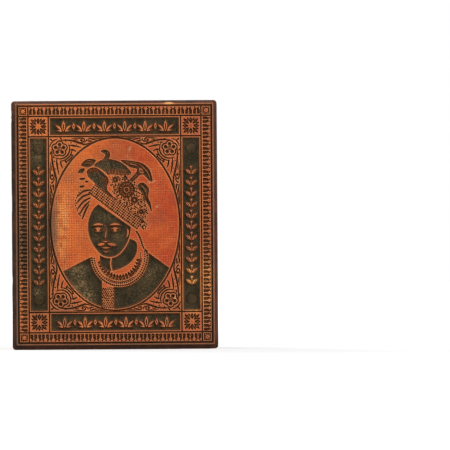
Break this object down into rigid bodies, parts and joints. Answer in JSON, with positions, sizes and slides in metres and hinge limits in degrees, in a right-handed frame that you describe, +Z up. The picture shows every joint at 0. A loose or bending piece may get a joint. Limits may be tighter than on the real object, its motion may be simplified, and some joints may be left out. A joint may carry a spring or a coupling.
{
  "type": "relief printing stamp die",
  "caption": "Upright type-high printing block: an etched copper plate with an oval portrait and bordered tablets, pinned on a wood block with a glued slip.",
  "frame": {"origin": "middle of the lower side of the block, on which it stands upright", "axes": "+Z up the design, +Y from the printing face to the wood's back, +X to the right of a viewer who faces the printing face"},
  "size_m": [0.0248, 0.0234, 0.0299],
  "materials": {
    "copper": "etched copper, patinated in the recesses and worn bright on the raised lines",
    "block_wood": "close-grained hardwood, ink-stained and polished by handling",
    "slip_wood": "hardwood slip, dark with ink at its edges",
    "glue": "dark set animal glue",
    "pin_metal": "dull, patinated like the ground of the plate"
  },
  "bodies": {
    "root": {"face_plate": "copper", "mount_block": "block_wood", "edge_slip": "slip_wood", "glue_line": "glue", "block_pins": "pin_metal"}
  },
  "joints": []
}
